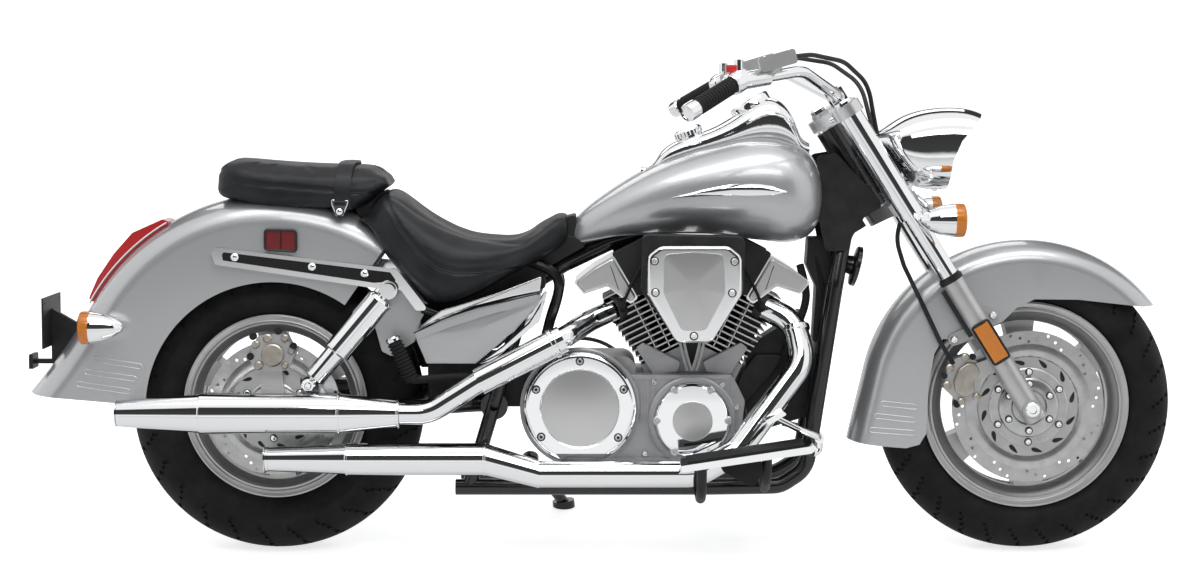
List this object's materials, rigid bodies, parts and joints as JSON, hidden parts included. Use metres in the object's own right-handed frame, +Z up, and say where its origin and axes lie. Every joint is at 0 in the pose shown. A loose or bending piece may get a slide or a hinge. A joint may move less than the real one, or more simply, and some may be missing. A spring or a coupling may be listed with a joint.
{
  "type": "cruiser motorcycle",
  "caption": "A parked shaft-drive V-twin cruiser motorcycle with valanced fenders, pull-back bar, disc brakes and a fold-down side stand",
  "frame": {"origin": "on the floor under the middle of the machine's bounding box, as it leans on its side stand", "axes": "+X forward along the wheelbase, +Y to the rider's left, +Z up from the floor"},
  "size_m": [2.5528, 0.9046, 1.1544],
  "materials": {
    "front_tyre": "matte black",
    "front_rim": "satin",
    "front_disc": "satin",
    "rear_tyre": "matte black",
    "rear_rim": "satin",
    "rear_disc": "satin",
    "frame_cradle": "gloss",
    "frame_upper": "gloss",
    "neck_cover": "matte black",
    "radiator": "satin",
    "engine_case": "satin",
    "cylinders": "satin",
    "rocker_covers": "mirror bright",
    "air_cleaner": "bright",
    "engine_covers": "satin",
    "exhaust_rear": "mirror bright",
    "exhaust_front": "mirror bright",
    "fuel_tank": "bright",
    "tank_console": "bright",
    "rider_seat": "satin black",
    "pillion_seat": "satin black",
    "rear_fender": "gloss",
    "fender_rails": "mirror bright",
    "rear_lenses": "bright",
    "rear_signals": "bright",
    "plate_bracket": "gloss",
    "side_covers": "bright",
    "swingarm": "satin",
    "rear_shocks": "mirror bright",
    "rear_caliper": "satin",
    "floorboards": "satin",
    "pillion_pegs": "matte black",
    "fork_yokes": "satin",
    "fork_covers": "mirror bright",
    "fork_lowers": "satin",
    "front_caliper": "satin",
    "front_fender": "gloss",
    "handlebar": "mirror bright",
    "grips": "matte black",
    "bar_controls": "satin",
    "control_cables": "matte black",
    "headlight": "bright",
    "front_signals": "bright",
    "front_lenses": "bright",
    "side_stand": "satin"
  },
  "bodies": {
    "frame": {"frame_cradle": "frame_cradle", "frame_upper": "frame_upper", "neck_cover": "neck_cover", "radiator": "radiator", "engine_case": "engine_case", "cylinders": "cylinders", "rocker_covers": "rocker_covers", "air_cleaner": "air_cleaner", "engine_covers": "engine_covers", "exhaust_rear": "exhaust_rear", "exhaust_front": "exhaust_front", "fuel_tank": "fuel_tank", "tank_console": "tank_console", "rider_seat": "rider_seat", "pillion_seat": "pillion_seat", "rear_fender": "rear_fender", "fender_rails": "fender_rails", "rear_lenses": "rear_lenses", "rear_signals": "rear_signals", "plate_bracket": "plate_bracket", "side_covers": "side_covers", "swingarm": "swingarm", "rear_shocks": "rear_shocks", "rear_caliper": "rear_caliper", "floorboards": "floorboards", "pillion_pegs": "pillion_pegs"},
    "steering": {"fork_yokes": "fork_yokes", "fork_covers": "fork_covers", "fork_lowers": "fork_lowers", "front_caliper": "front_caliper", "front_fender": "front_fender", "handlebar": "handlebar", "grips": "grips", "bar_controls": "bar_controls", "control_cables": "control_cables", "headlight": "headlight", "front_signals": "front_signals", "front_lenses": "front_lenses"},
    "front_wheel": {"front_tyre": "front_tyre", "front_rim": "front_rim", "front_disc": "front_disc"},
    "rear_wheel": {"rear_tyre": "rear_tyre", "rear_rim": "rear_rim", "rear_disc": "rear_disc"},
    "side_stand": {"side_stand": "side_stand"}
  },
  "joints": [
    {"name": "steering_turn", "type": "hinge", "parent": "frame", "child": "steering", "pos_m": [0.56915, -0.02318, 0.83423], "axis": [-0.5299, 0.1473, 0.8352], "range_deg": [-38, 38]},
    {"name": "front_wheel_spin", "type": "hinge", "parent": "steering", "child": "front_wheel", "pos_m": [0.9485, -0.11307, 0.32446], "axis": [0, 0.9848, -0.1736], "continuous": true},
    {"name": "rear_wheel_spin", "type": "hinge", "parent": "frame", "child": "rear_wheel", "pos_m": [-0.7205, -0.11333, 0.32298], "axis": [0, 0.9848, -0.1736], "continuous": true},
    {"name": "side_stand_fold", "type": "hinge", "parent": "frame", "child": "side_stand", "pos_m": [-0.1605, 0.00808, 0.14774], "axis": [0, 0.9084, 0.4181], "range_deg": [0, 115]}
  ]
}
